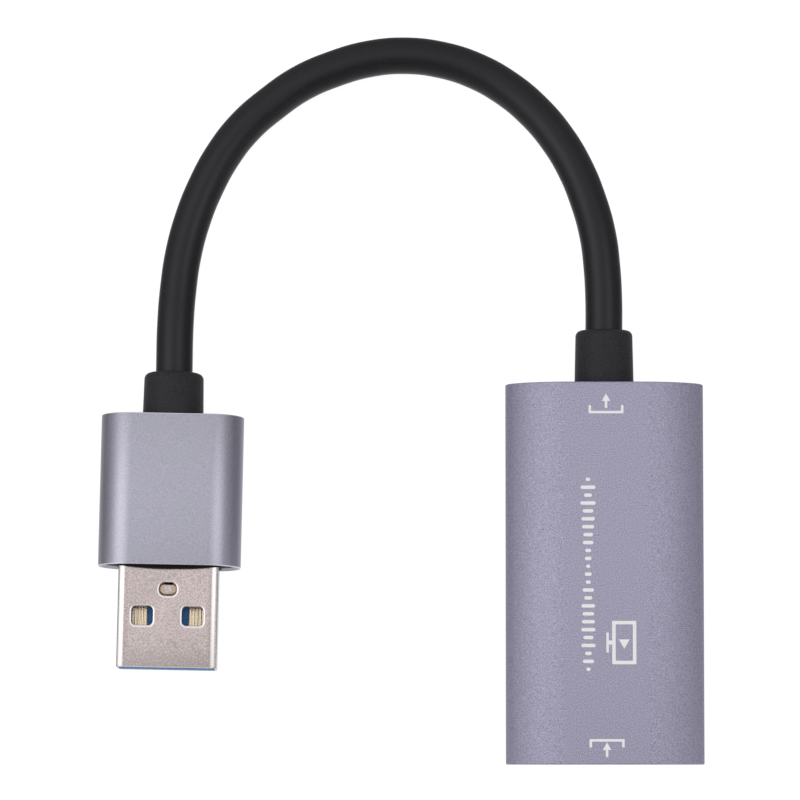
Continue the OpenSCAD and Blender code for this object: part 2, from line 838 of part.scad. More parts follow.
module plug_core() {
    inset = sleeve_wall + core_gap;
    color("#1e1e20") in_plug_place() difference() {
        along_y(core_front, 0)
            rounded_rect(sleeve_width - 2 * inset, sleeve_height - 2 * inset, sleeve_radius - inset);
        along_y(core_front - eps, shell_back + core_gap)
            rounded_rect(shell_width + 2 * core_gap, shell_height + 2 * core_gap, shell_edge + core_gap);
        along_y(shell_back, jacket_in_plug)
            square([shell_width - 2 * shell_sheet, shell_height - 2 * shell_sheet], center = true);
        along_y(jacket_in_plug - eps, eps) circle(cable_diameter / 2 + boot_gap);
        along_y(flange_front - boot_gap, -root_length + boot_gap) circle(flange_radius + boot_gap);
        along_y(-root_length, eps) circle(neck_radius + boot_gap);
    }
}

module dimple_outline(grow) {
    rounded_rect(dimple_width + 2 * grow, dimple_length + 2 * grow, dimple_corner + grow);
}

module plug_shell() {
    dimple_y = shell_tip + dimple_place;
    top = shell_height / 2;
    color("#c4b8b8") in_plug_place() difference() {
        union() {
            along_y(shell_tip, shell_back) difference() {
                rounded_rect(shell_width, shell_height, shell_edge);
                rounded_rect(shell_width - 2 * shell_sheet, shell_height - 2 * shell_sheet,
                             shell_edge - shell_sheet);
            }
            translate([0, dimple_y, top - dimple_depth - dimple_wall])
                linear_extrude(height = dimple_depth + dimple_wall - shell_sheet + eps)
                    dimple_outline(dimple_wall);
        }
        for (side = [-1, 1])
            translate([side * latch_offset, shell_tip + latch_place, 0])
                linear_extrude(height = shell_height + 2 * eps, center = true)
                    rounded_rect(latch_width, latch_length, latch_corner);
        translate([0, dimple_y, top - dimple_depth])
            linear_extrude(height = dimple_depth + eps) dimple_outline(0);
    }
}

// Slots in the plug's insulator, or the straight contacts that lie in them
module bus_strips(start, end, grow) {
    for (x = bus_places)
        along_y(start, end)
            translate([x - bus_contact_width / 2 - grow, tongue_top])
                square([bus_contact_width + 2 * grow, bus_contact_thickness + grow]);
}

module plug_insulator() {
    width = shell_width - 2 * shell_sheet - 2 * insulator_gap;
    height = shell_height - 2 * shell_sheet - 2 * insulator_gap;
    floor_z = -height / 2;
    color("#2b4fa8") in_plug_place() difference() {
        intersection() {
            along_y(tongue_tip, block_back)
                rounded_rect(width, height, shell_edge - shell_sheet - insulator_gap);
            along_x(-width / 2, width / 2)
                polygon([
                    [tongue_tip, floor_z], [block_back, floor_z], [block_back, -floor_z],
                    [block_front, -floor_z], [block_front, tongue_top],
                    [tongue_tip + tongue_chamfer, tongue_top], [tongue_tip, tongue_top - tongue_chamfer]
                ]);
        }
        bus_strips(block_front - eps, block_back + eps, insulator_gap);
        for (i = [0 : fast_count - 1])
            along_y(block_front - eps, block_back + eps)
                translate([(i - (fast_count - 1) / 2) * fast_pitch - fast_width / 2 - insulator_gap,
                           fast_level - insulator_gap])
                    square([fast_width + 2 * insulator_gap, bus_contact_thickness + 2 * insulator_gap]);
    }
}

module plug_contacts() {
    color("#e0bf6e") in_plug_place() bus_strips(tongue_tip + bus_contact_setback, contact_end, 0);
}

module plug_fast_contacts() {
    tip = block_front - fast_reach;
    bend = tip + fast_reach / 4;
    low = fast_level - fast_drop;
    color("#e0bf6e") in_plug_place()
        for (i = [0 : fast_count - 1])
            translate([(i - (fast_count - 1) / 2) * fast_pitch, 0, 0])
                along_x(-fast_width / 2, fast_width / 2)
                    polygon([
                        [contact_end, fast_level], [block_front, fast_level], [bend, low],
                        [tip, low + fast_drop / 2], [tip, low + fast_drop / 2 + bus_contact_thickness],
                        [bend, low + bus_contact_thickness],
                        [block_front, fast_level + bus_contact_thickness],
                        [contact_end, fast_level + bus_contact_thickness]
                    ]);
}

box_tube();
input_cap();
output_cap();
circuit_board();
socket_shell();
socket_insulator();
upper_socket_contacts();
lower_socket_contacts();
capture_chip();
capture_chip_leads();
memory_chip();
memory_chip_leads();
clock_crystal();
voltage_regulators();
voltage_regulator_leads();
surge_protectors();
capacitors();
resistors();
box_boot();
cable_jacket();
power_wires();
ground_wires();
data_wires();
fast_wires();
plug_boot();
plug_core();
plug_sleeve();
plug_shell();
plug_insulator();
plug_contacts();
plug_fast_contacts();
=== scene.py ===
import math

import bmesh
import bpy
from mathutils import Euler, Matrix, Vector


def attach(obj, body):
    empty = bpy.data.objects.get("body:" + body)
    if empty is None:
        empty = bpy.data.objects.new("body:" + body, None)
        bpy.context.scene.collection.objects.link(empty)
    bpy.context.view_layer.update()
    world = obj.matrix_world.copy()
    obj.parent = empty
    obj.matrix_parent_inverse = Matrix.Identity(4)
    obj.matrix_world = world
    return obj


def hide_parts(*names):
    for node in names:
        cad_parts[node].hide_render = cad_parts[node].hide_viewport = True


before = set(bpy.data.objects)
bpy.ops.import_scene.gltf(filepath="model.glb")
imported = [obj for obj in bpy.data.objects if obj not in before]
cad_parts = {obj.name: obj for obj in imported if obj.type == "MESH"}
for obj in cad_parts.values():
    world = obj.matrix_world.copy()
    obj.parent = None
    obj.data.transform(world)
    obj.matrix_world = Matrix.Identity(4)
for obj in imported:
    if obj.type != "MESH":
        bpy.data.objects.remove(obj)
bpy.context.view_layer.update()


# Camera: a long lens almost straight above the table, a little on the side of the plug's tip.
# Plain sRGB output, so that the colours of the finishes come out as they are set.
mm = 0.001
aim = Vector((-24.79, 21.21, 5.0)) * mm
camera_tilt = math.radians(4.3)
camera_distance = 590 * mm
seen_width = 97.26 * mm
sensor_width = 36
away = Vector((0, -math.sin(camera_tilt), math.cos(camera_tilt))) * camera_distance
bpy.ops.object.select_all(action="DESELECT")
bpy.ops.object.camera_add(location=aim + away, rotation=(camera_tilt, 0, 0))
camera = bpy.context.object
camera.data.sensor_width = sensor_width
camera.data.lens = sensor_width * camera_distance / seen_width
bpy.context.scene.camera = camera
bpy.context.scene.view_settings.view_transform = "Standard"


# Circuit board and what is soldered on it: glass laminate under green lacquer, chips moulded in black resin
# with tinned legs, a crystal in a metal case, fired capacitors and glazed resistors.
# The board slides into the tube's rails.
def grained(name, tone, contrast, grain, roughness, metallic=0.0, relief=0.3, depth=0.02, spread=0.1,
            shine=0.5):
    """A finish whose tone, roughness and relief follow a fine noise.

    Contrast says how far the tone swings, and spread how far the roughness does. Grain is the size of the
    noise and depth that of its relief, both in millimetres.
    """
    low, high = 0.3, 0.7
    material = bpy.data.materials.new(name)
    material.use_nodes = True
    nodes, links = material.node_tree.nodes, material.node_tree.links
    shader = nodes["Principled BSDF"]
    shader.inputs["Metallic"].default_value = metallic
    shader.inputs["Specular IOR Level"].default_value = shine
    coordinates = nodes.new("ShaderNodeTexCoord")
    noise = nodes.new("ShaderNodeTexNoise")
    noise.inputs["Scale"].default_value = 1 / (grain * mm)
    noise.inputs["Detail"].default_value = 2
    links.new(coordinates.outputs["Object"], noise.inputs["Vector"])
    tones = nodes.new("ShaderNodeValToRGB")
    for end, position, share in ((0, low, 1 - contrast), (1, high, 1 + contrast)):
        tones.color_ramp.elements[end].position = position
        tones.color_ramp.elements[end].color = (*(min(1, share * part) for part in tone), 1)
    links.new(noise.outputs["Fac"], tones.inputs["Fac"])
    links.new(tones.outputs["Color"], shader.inputs["Base Color"])
    gloss = nodes.new("ShaderNodeMapRange")
    gloss.inputs["From Min"].default_value = low
    gloss.inputs["From Max"].default_value = high
    gloss.inputs["To Min"].default_value = roughness - spread / 2
    gloss.inputs["To Max"].default_value = roughness + spread / 2
    links.new(noise.outputs["Fac"], gloss.inputs["Value"])
    links.new(gloss.outputs["Result"], shader.inputs["Roughness"])
    bump = nodes.new("ShaderNodeBump")
    bump.inputs["Strength"].default_value = relief
    bump.inputs["Distance"].default_value = depth * mm
    links.new(noise.outputs["Fac"], bump.inputs["Height"])
    links.new(bump.outputs["Normal"], shader.inputs["Normal"])
    return material


def finish_nodes(material, *names):
    """Gives CAD nodes a finish and leaves their meshes alone."""
    for name in names:
        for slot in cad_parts[name].material_slots:
            slot.material = material


green_lacquer = grained("green_lacquer", (0.02, 0.13, 0.06), contrast=0.35, grain=0.9, roughness=0.35)
finish_nodes(green_lacquer, "circuit_board")
chip_resin = grained("chip_resin", (0.02, 0.02, 0.022), contrast=0.4, grain=0.12, roughness=0.6, relief=0.6)
finish_nodes(chip_resin, "capture_chip", "memory_chip", "voltage_regulators", "surge_protectors")
tinned_legs = grained("tinned_legs", (0.66, 0.66, 0.68), contrast=0.15, grain=0.2, roughness=0.3,
                      metallic=1.0)
finish_nodes(tinned_legs, "capture_chip_leads", "memory_chip_leads", "voltage_regulator_leads")
crystal_case = grained("crystal_case", (0.7, 0.68, 0.62), contrast=0.12, grain=0.15, roughness=0.28,
                       metallic=1.0)
finish_nodes(crystal_case, "clock_crystal")
fired_ceramic = grained("fired_ceramic", (0.42, 0.26, 0.13), contrast=0.25, grain=0.15, roughness=0.5)
finish_nodes(fired_ceramic, "capacitors")
glazed_ceramic = grained("glazed_ceramic", (0.018, 0.018, 0.02), contrast=0.3, grain=0.2, roughness=0.22)
finish_nodes(glazed_ceramic, "resistors")


# Video socket: a tinned steel shell folded round a black insulator, with gilded contacts on both faces of its
# tongue. Sprung fingers are cut in the shell, and its two legs are soldered into the board.
tinned_shell = grained("tinned_shell", (0.68, 0.67, 0.66), contrast=0.12, grain=0.22, roughness=0.3,
                       metallic=1.0)
finish_nodes(tinned_shell, "socket_shell")
socket_black = grained("socket_black", (0.017, 0.017, 0.019), contrast=0.35, grain=0.15, roughness=0.5)
finish_nodes(socket_black, "socket_insulator")
contact_gold = grained("contact_gold", (0.94, 0.82, 0.66), contrast=0.08, grain=0.25, roughness=0.24,
                       metallic=1.0)
finish_nodes(contact_gold, "upper_socket_contacts", "lower_socket_contacts")


# Tube of the box: an aluminium extrusion with rounded shoulders, cut to length, bead-blasted and anodised
# lilac grey. Two pairs of rails inside hold the board.
# The cut ends are broken, and nothing is fixed to its outside.
def take_up(piece):
    """Selects one piece and nothing else."""
    bpy.ops.object.select_all(action="DESELECT")
    piece.select_set(True)
    bpy.context.view_layer.objects.active = piece


def start_edit(piece):
    """Opens one piece in edit mode, with nothing else selected."""
    take_up(piece)
    bpy.ops.object.mode_set(mode="EDIT")


def end_edit():
    """Goes back from edit mode to the pieces."""
    bpy.ops.object.mode_set(mode="OBJECT")


def pick(piece, kind, test):
    """Selects the edges or faces of the edited piece that pass a test, which gets their middles in mm."""
    bpy.ops.mesh.select_mode(type=kind)
    bpy.ops.mesh.select_all(action="DESELECT")
    mesh = bmesh.from_edit_mesh(piece.data)
    for part in {"EDGE": mesh.edges, "FACE": mesh.faces}[kind]:
        middle = sum((corner.co for corner in part.verts), Vector()) / len(part.verts)
        if test(part, middle / mm):
            part.select_set(True)
    mesh.select_flush_mode()
    bmesh.update_edit_mesh(piece.data)


def across(edge):
    """True for an edge that lies square to the Y axis."""
    return abs(edge.verts[0].co.y - edge.verts[1].co.y) < 1e-6


def sharp(edge):
    """True for an edge where two faces meet at a marked angle."""
    return len(edge.link_faces) == 2 and edge.calc_face_angle() > math.radians(60)


def bevel(width, steps):
    """Bevels the selected edges by a width in millimetres."""
    bpy.ops.mesh.bevel(offset=width * mm, segments=steps, affect="EDGES")


def settle():
    """Puts the place of the selected piece into its mesh, and hands the piece over."""
    bpy.ops.object.transform_apply(location=True, rotation=True, scale=True)
    return bpy.context.object


def add_block(size, middle):
    """A block of a given size in millimetres round its middle."""
    bpy.ops.object.select_all(action="DESELECT")
    bpy.ops.mesh.primitive_cube_add(size=1, location=Vector(middle) * mm, scale=Vector(size) * mm)
    return settle()


def use_modifier(piece, kind, **settings):
    """Adds a modifier to a piece and applies it."""
    take_up(piece)
    modifier = piece.modifiers.new(kind.title(), kind)
    for name, value in settings.items():
        setattr(modifier, name, value)
    bpy.ops.object.modifier_apply(modifier=modifier.name)


def combine(piece, other, operation):
    """Joins, cuts or intersects a piece with another solid, and removes the other solid."""
    use_modifier(piece, "BOOLEAN", operation=operation, object=other, solver="EXACT")
    bpy.data.objects.remove(other)


def place(piece, matrix):
    """Moves a piece to where it belongs."""
    take_up(piece)
    piece.matrix_world = matrix
    settle()


def smooth(piece, degrees=40):
    """Shades a piece smooth, apart from edges that turn by more than an angle."""
    take_up(piece)
    bpy.ops.object.shade_smooth_by_angle(angle=math.radians(degrees))


def dress(piece, *materials):
    """Gives a piece its finishes in place of any that it has."""
    piece.data.materials.clear()
    for material in materials:
        piece.data.materials.append(material)


box_length, axis_height = 46.0, 5.5
flat_half, side_middle, side_radius = 4.5, 8.0, 4.0
shoulder_steps, side_steps, weld = 16, 14, 0.001
tube_wall, tube_break, break_steps = 1.2, 0.16, 3
shoulder_run = side_middle - flat_half
shoulder_drop = axis_height - side_radius
shoulder_radius = (shoulder_run ** 2 + axis_height ** 2 - side_radius ** 2) / (2 * shoulder_drop)
shoulder_turn = math.atan2(shoulder_run, shoulder_radius - axis_height)
bpy.ops.object.select_all(action="DESELECT")
bpy.ops.mesh.primitive_plane_add(size=mm)
tube = bpy.context.object
start_edit(tube)
bpy.ops.mesh.select_mode(type="VERT")
bpy.ops.mesh.select_all(action="SELECT")
bpy.ops.mesh.merge(type="CENTER")
bpy.ops.transform.translate(value=Vector((0, -box_length / 2, axis_height)) * mm)
bpy.ops.mesh.extrude_vertices_move(TRANSFORM_OT_translate={"value": (flat_half * mm, 0, 0)})
bpy.ops.mesh.spin(steps=shoulder_steps, angle=-shoulder_turn, axis=(0, 1, 0),
                  center=Vector((flat_half, -box_length / 2, axis_height - shoulder_radius)) * mm)
bpy.ops.mesh.spin(steps=side_steps, angle=shoulder_turn - math.radians(90), axis=(0, 1, 0),
                  center=Vector((side_middle, -box_length / 2, 0)) * mm)
bpy.ops.mesh.select_all(action="SELECT")
bpy.ops.mesh.remove_doubles(threshold=weld * mm)
end_edit()
use_modifier(tube, "MIRROR", use_axis=(True, False, True), merge_threshold=weld * mm)
start_edit(tube)
bpy.ops.mesh.select_all(action="SELECT")
bpy.ops.mesh.extrude_region_move(TRANSFORM_OT_translate={"value": (0, box_length * mm, 0)})
bpy.ops.mesh.select_all(action="SELECT")
bpy.ops.mesh.normals_make_consistent(inside=False)
end_edit()
if sum(face.normal.dot(face.center) * face.area for face in tube.data.polygons) < 0:
    start_edit(tube)
    bpy.ops.mesh.select_all(action="SELECT")
    bpy.ops.mesh.flip_normals()
    end_edit()
use_modifier(tube, "SOLIDIFY", thickness=tube_wall * mm, offset=-1, use_even_offset=True)
start_edit(tube)
pick(tube, "EDGE", lambda e, m: across(e) and sharp(e))
bevel(tube_break, break_steps)
end_edit()
rail_reach, rail_thickness, rail_gap, rail_root = 1.4, 0.8, 1.2, 0.3
inner_half = side_middle + side_radius - tube_wall
for side in (-1, 1):
    for level in (-1, 1):
        rail = add_block((rail_reach + rail_root, box_length - 2 * tube_break, rail_thickness),
                         (side * (inner_half - (rail_reach - rail_root) / 2), 0,
                          level * (rail_gap + rail_thickness) / 2))
        combine(tube, rail, "UNION")
tube.name = "anodised_box_tube"
place(tube, Matrix.Translation((0, 0, axis_height * mm)))
smooth(tube)
dress(tube, grained("lilac_anodised", (0.471, 0.453, 0.584), contrast=0.34, grain=0.125, roughness=0.62,
                    metallic=1.0, relief=0.8, spread=0.06))
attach(tube, "root")
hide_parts("box_tube")


# End plates: moulded in black plastic with a fine spark-eroded grain. They are pressed into the tube's two
# ends, one round the video socket and one round the cable's boot.
moulded_plastic = grained("moulded_plastic", (0.016, 0.016, 0.018), contrast=0.5, grain=0.14, roughness=0.52,
                          relief=0.5)
finish_nodes(moulded_plastic, "input_cap", "output_cap")


# Printed marks: white ink, pad-printed on the flat of the tube. An arrow out of a tray marks the cable's end,
# an arrow into a tray the socket's end, and a level meter and a screen say what passes through.
ink_height, ink_sink, ink_line = 0.015, 0.01, 0.3
ink_corner, ink_steps, head_rounding = 0.06, 3, 0.08
ink_depth = ink_height + ink_sink
ink_middle = 2 * axis_height + (ink_height - ink_sink) / 2


def upright(edge, least):
    """True for an edge that rises by more than a height in millimetres."""
    return abs(edge.verts[0].co.z - edge.verts[1].co.z) > least * mm


def round_off(piece, radius):
    """Rounds the upright edges of a flat mark."""
    start_edit(piece)
    pick(piece, "EDGE", lambda e, m: upright(e, ink_height / 2))
    bevel(radius, ink_steps)
    end_edit()
    return piece


def ink_block(x, y, width, length, depth=ink_depth):
    """A sharp block of ink round its middle, sunk a little into the tube."""
    return add_block((width, length, depth), (x, y, ink_middle))


def ink_bar(x, y, width, length, corner=ink_corner):
    """A bar of ink round its middle, with rounded corners."""
    return round_off(ink_block(x, y, width, length), corner)


def ink_frame(x, y, width, length, line, open_side=0):
    """A rectangle drawn with one line, or a tray if it is open towards one end of the tube."""
    outer = ink_block(x, y, width, length)
    inner_length = length - 2 * line * (1 - abs(open_side))
    inner = ink_block(x, y + open_side * line, width - 2 * line, inner_length, 2 * ink_height + ink_depth)
    combine(outer, inner, "DIFFERENCE")
    return round_off(outer, ink_corner)


def ink_arrow_head(x, y, radius, turn):
    """A triangle of ink that points along X, turned by an angle."""
    bpy.ops.object.select_all(action="DESELECT")
    bpy.ops.mesh.primitive_cylinder_add(
        vertices=3, radius=radius * mm, depth=ink_depth * mm,
        location=Vector((x, y, ink_middle)) * mm, rotation=(0, 0, turn - math.radians(90)))
    return round_off(settle(), head_rounding * radius)


def join(pieces):
    """Joins pieces into the first of them."""
    take_up(pieces[0])
    for piece in pieces[1:]:
        piece.select_set(True)
    bpy.ops.object.join()
    return pieces[0]


tray_width, tray_depth = 4.2, 1.0
output_tray, input_tray = 19.65, -20.45
stem_length, head_radius, head_place = 0.85, 0.6, 20.95
marks = []
for tray_middle, end in ((output_tray, 1), (input_tray, -1)):
    marks.append(ink_frame(0, tray_middle, tray_width, tray_depth, ink_line, end))
    marks.append(ink_arrow_head(0, end * head_place, head_radius, math.radians(90)))
    marks.append(ink_bar(0, end * head_place - (head_radius + stem_length) / 2, ink_line, stem_length))
meter_count, meter_pitch, meter_x, meter_start = 25, 0.95, -2.2, -11.6
bar_least, bar_swing, bar_thickness, bar_corner = 0.5, 1.5, 0.42, 0.18
quick_beat, slow_beat, slow_start = 1.7, 0.21, 0.4
for k in range(meter_count):
    swing = abs(math.sin(quick_beat * k) * math.sin(slow_beat * k + slow_start))
    marks.append(ink_bar(meter_x, meter_start + k * meter_pitch, bar_least + bar_swing * swing, bar_thickness,
                         bar_corner))
screen_x, screen_y, screen_tall, screen_wide, screen_line = 2.1, -8.4, 2.9, 5.2, 0.42
stand_length, stand_width, foot_width, screen_head = 0.4, 0.5, 2.4, 0.75
screen_foot = screen_x - screen_tall / 2
marks.append(ink_frame(screen_x, screen_y, screen_tall, screen_wide, screen_line))
marks.append(ink_bar(screen_foot - stand_length / 2, screen_y, stand_length, stand_width))
marks.append(ink_bar(screen_foot - stand_length - ink_line / 2, screen_y, ink_line, foot_width))
marks.append(ink_arrow_head(screen_x, screen_y, screen_head, math.radians(-90)))
printed_marks = join(marks)
printed_marks.name = "printed_marks"
dress(printed_marks, grained("white_ink", (0.99, 0.99, 0.99), contrast=0.03, grain=0.12, roughness=0.55,
                             relief=0.2))
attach(printed_marks, "root")


# Plug insulator: a blue moulded block with the tongue in front, pushed into the steel shell.
# The gilded fast contacts stand in the block behind the tongue.
blue_moulding = grained("blue_moulding", (0.028, 0.2, 0.5), contrast=0.12, grain=0.2, roughness=0.5,
                        relief=0.2)
finish_nodes(blue_moulding, "plug_insulator")
finish_nodes(contact_gold, "plug_fast_contacts")


# Wires: stranded copper in coloured vinyl for the supply, the return and the slow pair, and foil-wrapped fast
# pairs. They run from the cable's two ends to the board and to the plug's contacts.
red_vinyl = grained("red_vinyl", (0.45, 0.02, 0.02), contrast=0.12, grain=0.3, roughness=0.35)
finish_nodes(red_vinyl, "power_wires")
black_wire_vinyl = grained("black_wire_vinyl", (0.015, 0.015, 0.016), contrast=0.2, grain=0.3, roughness=0.35)
finish_nodes(black_wire_vinyl, "ground_wires")
white_vinyl = grained("white_vinyl", (0.7, 0.7, 0.66), contrast=0.1, grain=0.3, roughness=0.35)
finish_nodes(white_vinyl, "data_wires")
foil = grained("foil", (0.6, 0.63, 0.68), contrast=0.25, grain=0.25, roughness=0.28, metallic=1.0, relief=0.8)
finish_nodes(foil, "fast_wires")


# Plug contacts: four strips of gilded bronze, rolled with fine lengthwise ridges.
# They lie on the insulator's tongue and run back through its block to the wires.
# The plug rests on the rear edge of its sleeve, so its height follows from the sleeve's.
sleeve_height = 8.4
plug_lift, plug_turn = math.radians(-3), math.radians(-1.1)
plug_rear = Vector((-52.4, 19.2, sleeve_height / 2 * math.cos(plug_lift))) * mm
plug_place = Matrix.Translation(plug_rear) @ Euler((plug_lift, 0, plug_turn)).to_matrix().to_4x4()
# Near is how far apart two places may lie and still count as one.
near = 0.01
strip_thickness, strip_front, strip_back, tongue_top = 0.25, -29.65, -11.0, -0.05
strip_top = tongue_top + strip_thickness
outer_x, inner_x, outer_ridges, inner_ridges = 3.5, 1.0, 5, 3
ridge_width, ridge_depth = 0.4, 0.1
# Places across one ridge and how far each lies below the crest, as shares of the ridge's width and depth.
ridge_profile = ((0, 1), (0.12, 0.3), (0.3, 0.05), (0.5, 0), (0.7, 0.05), (0.88, 0.3))
strips = []
for x, ridge_count in ((-outer_x, outer_ridges), (-inner_x, inner_ridges),
                       (inner_x, inner_ridges), (outer_x, outer_ridges)):
    strip_width = ridge_count * ridge_width
    strip = add_block((strip_width, strip_back - strip_front, strip_thickness),
                      (x, (strip_front + strip_back) / 2, tongue_top + strip_thickness / 2))
    start_edit(strip)
    lines = [(x - strip_width / 2 + (k + share) * ridge_width, drop)
             for k in range(ridge_count) for share, drop in ridge_profile]
    for line, _ in lines[1:]:
        bpy.ops.mesh.select_all(action="SELECT")
        bpy.ops.mesh.bisect(plane_co=(line * mm, 0, 0), plane_no=(1, 0, 0))
    for line, drop in lines + [(x + strip_width / 2, 1)]:
        pick(strip, "EDGE", lambda e, m: not across(e) and m.z > strip_top - near and abs(m.x - line) < near)
        bpy.ops.transform.translate(value=(0, 0, -drop * ridge_depth * mm))
    end_edit()
    strips.append(strip)
contacts = join(strips)
contacts.name = "ridged_plug_contacts"
place(contacts, plug_place)
smooth(contacts, degrees=20)
dress(contacts, contact_gold)
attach(contacts, "root")
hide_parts("plug_contacts")


# Plug shell: a sleeve of nickel-plated steel, folded from sheet. Two latch holes with coined rims are punched
# in each wide face, and an oval dimple is lanced and pressed into the upper one.
# A brighter tone is painted as highlight on the folds, on the rims apart from their walls that face the tip,
# and on the tip's upper edge. A darker tone is painted as shade in the dimple.
shell_width, shell_height, shell_sheet = 12.1, 4.5, 0.3
shell_tip, shell_back = -30.7, -12.0
fold_height, fold_stretch = 0.5, 1.8
tip_break, tip_steps = 0.12, 2
shell_top = shell_height / 2
shell_edge = fold_height * fold_stretch
# Past is how far a cutter reaches beyond what it cuts.
past = 1


def add_bar(width, height, corner, start, end, steps=12, stretch=1):
    """A bar along Y from start to end, with rounded long edges. The rounding can be stretched along X."""
    bar = add_block((width / stretch, end - start, height), (0, (start + end) / 2, 0))
    start_edit(bar)
    pick(bar, "EDGE", lambda e, m: not across(e))
    bevel(corner, steps)
    bpy.ops.mesh.select_all(action="SELECT")
    bpy.ops.transform.resize(value=(stretch, 1, 1), center_override=(0, 0, 0))
    end_edit()
    return bar


shell = add_bar(shell_width, shell_height, fold_height, shell_tip, shell_back, stretch=fold_stretch)
inside = add_bar(shell_width - 2 * shell_sheet, shell_height - 2 * shell_sheet, fold_height - shell_sheet / 2,
                 shell_tip - past, shell_back + past, stretch=fold_stretch)
combine(shell, inside, "DIFFERENCE")

# Facing is the least share of a normal along an axis at which its face is taken to look that way.
facing = 0.9
rim_width, rim_drop, rim_steps, rear_share = 0.2, 0.09, 6, 0.32


def flare(piece, side):
    """Opens a cutter's top or bottom in a shallow curve, most towards the tip, and carries it further out."""
    pick(piece, "FACE", lambda f, m: f.normal.z * side > facing and m.z * side > 0)
    mesh = bmesh.from_edit_mesh(piece.data)
    xs = [corner.co.x for corner in mesh.verts if corner.select]
    ys = [corner.co.y for corner in mesh.verts if corner.select]
    wide, deep = max(xs) - min(xs), max(ys) - min(ys)
    middle = Vector(((max(xs) + min(xs)) / 2, max(ys) - rear_share * deep, 0))
    out = rise = 0
    for k in range(1, rim_steps + 1):
        turn = math.radians(90 * k / rim_steps)
        next_out, next_rise = rim_width * (1 - math.cos(turn)) * mm, rim_drop * math.sin(turn) * mm
        bpy.ops.mesh.extrude_region_move(TRANSFORM_OT_translate={"value": (0, 0, side * (next_rise - rise))})
        bpy.ops.transform.resize(
            value=((wide + 2 * next_out) / (wide + 2 * out), (deep + 2 * next_out) / (deep + 2 * out), 1),
            center_override=middle)
        out, rise = next_out, next_rise
    bpy.ops.mesh.extrude_region_move(TRANSFORM_OT_translate={"value": (0, 0, side * shell_sheet * mm)})


latch_width, latch_length, latch_corner, latch_steps = 2.6, 2.3, 0.55, 6
latch_x, latch_y = 3.05, -24.45
for x in (-latch_x, latch_x):
    punch = add_block((latch_width, latch_length, shell_height - 2 * rim_drop), (x, latch_y, 0))
    start_edit(punch)
    pick(punch, "EDGE", lambda e, m: upright(e, shell_sheet))
    bevel(latch_corner, latch_steps)
    for side in (1, -1):
        flare(punch, side)
    end_edit()
    combine(shell, punch, "DIFFERENCE")

dimple_width, dimple_length, dimple_depth, dimple_wall = 2.2, 1.6, 0.35, 0.15
dimple_y, dimple_corner, dimple_steps = -21.2, 0.75, 9
dimple_middle = (0, dimple_y * mm, 0)
floor_width, floor_length = 0.84, 0.74
boss_inset, boss_height, boss_share = 0.18, 0.1, 0.58
pad_root = 0.1
pad_depth = dimple_depth + dimple_wall
pad = add_block((dimple_width + 2 * dimple_wall, dimple_length + 2 * dimple_wall, pad_depth - pad_root),
                (0, dimple_y, shell_top - (pad_depth + pad_root) / 2))
start_edit(pad)
pick(pad, "EDGE", lambda e, m: upright(e, dimple_wall))
bevel(dimple_corner + dimple_wall, dimple_steps)
end_edit()
combine(shell, pad, "UNION")
press = add_block((dimple_width, dimple_length, dimple_depth - rim_drop),
                  (0, dimple_y, shell_top - (dimple_depth + rim_drop) / 2))
start_edit(press)
pick(press, "EDGE", lambda e, m: upright(e, dimple_wall))
bevel(dimple_corner, dimple_steps)
pick(press, "FACE", lambda f, m: f.normal.z < -facing)
bpy.ops.transform.resize(value=(floor_width, floor_length, 1), center_override=dimple_middle)
bpy.ops.mesh.inset(thickness=boss_inset * mm)
bpy.ops.transform.resize(value=(boss_share, 1, 1), center_override=dimple_middle)
bpy.ops.mesh.extrude_region_move(TRANSFORM_OT_translate={"value": (0, 0, boss_height * mm)})
flare(press, 1)
end_edit()
combine(shell, press, "DIFFERENCE")

lance_width, lance_length, lance_depth, lance_sink = 1.4, 0.28, 1.2, 0.4
lance_corner, lance_steps = 0.224, 4
lance = add_block((lance_width, lance_length, lance_depth),
                  (0, dimple_y + (dimple_length - lance_length) / 2, shell_top - lance_sink))
start_edit(lance)
pick(lance, "EDGE", lambda e, m: upright(e, dimple_wall) and m.y > dimple_y + dimple_length / 2 - near)
bevel(lance_corner, lance_steps)
end_edit()
combine(shell, lance, "DIFFERENCE")

# Least and most shares of a normal along an axis, by which the faces with painted highlight and painted shade
# are told from the plain plate.
slight, square, wall_rise = 0.1, 0.99, -0.5
rim_rise, rim_lean, fold_least, fold_most = 0.15, -0.3, 0.6, 0.999
rim_margin, skin = 0.005, 0.0005


def painted_highlight(face, middle):
    """True where highlight is painted: on the coined rims apart from their walls that face the tip, on the
    upper part of the folds and on the tip's upper edge.
    """
    lean, rise = face.normal.y, face.normal.z
    on_fold = abs(middle.x) > shell_width / 2 - shell_edge
    rim_deep = shell_top - rim_drop - rim_margin < abs(middle.z) < shell_top - skin
    rim = rim_deep and not on_fold and abs(rise) > rim_rise and lean > rim_lean
    fold = on_fold and fold_least < abs(rise) < fold_most and abs(lean) < slight
    at_tip = middle.y < shell_tip + tip_break and middle.z > shell_top - tip_break
    tip = at_tip and rise > slight and lean < -slight
    return abs(lean) < square and (rim or fold or tip)


def painted_dimple_shade(face, middle):
    """True where shade is painted: on the walls and the floor of the dimple, apart from the boss in its
    middle.
    """
    within = abs(middle.x) < dimple_width / 2 + near and abs(middle.y - dimple_y) < dimple_length / 2 + near
    deep = shell_top - dimple_depth - near < middle.z < shell_top - rim_drop
    on_boss = face.normal.z > facing and middle.z > shell_top - dimple_depth + boss_height / 2
    return within and deep and face.normal.z > wall_rise and not on_boss


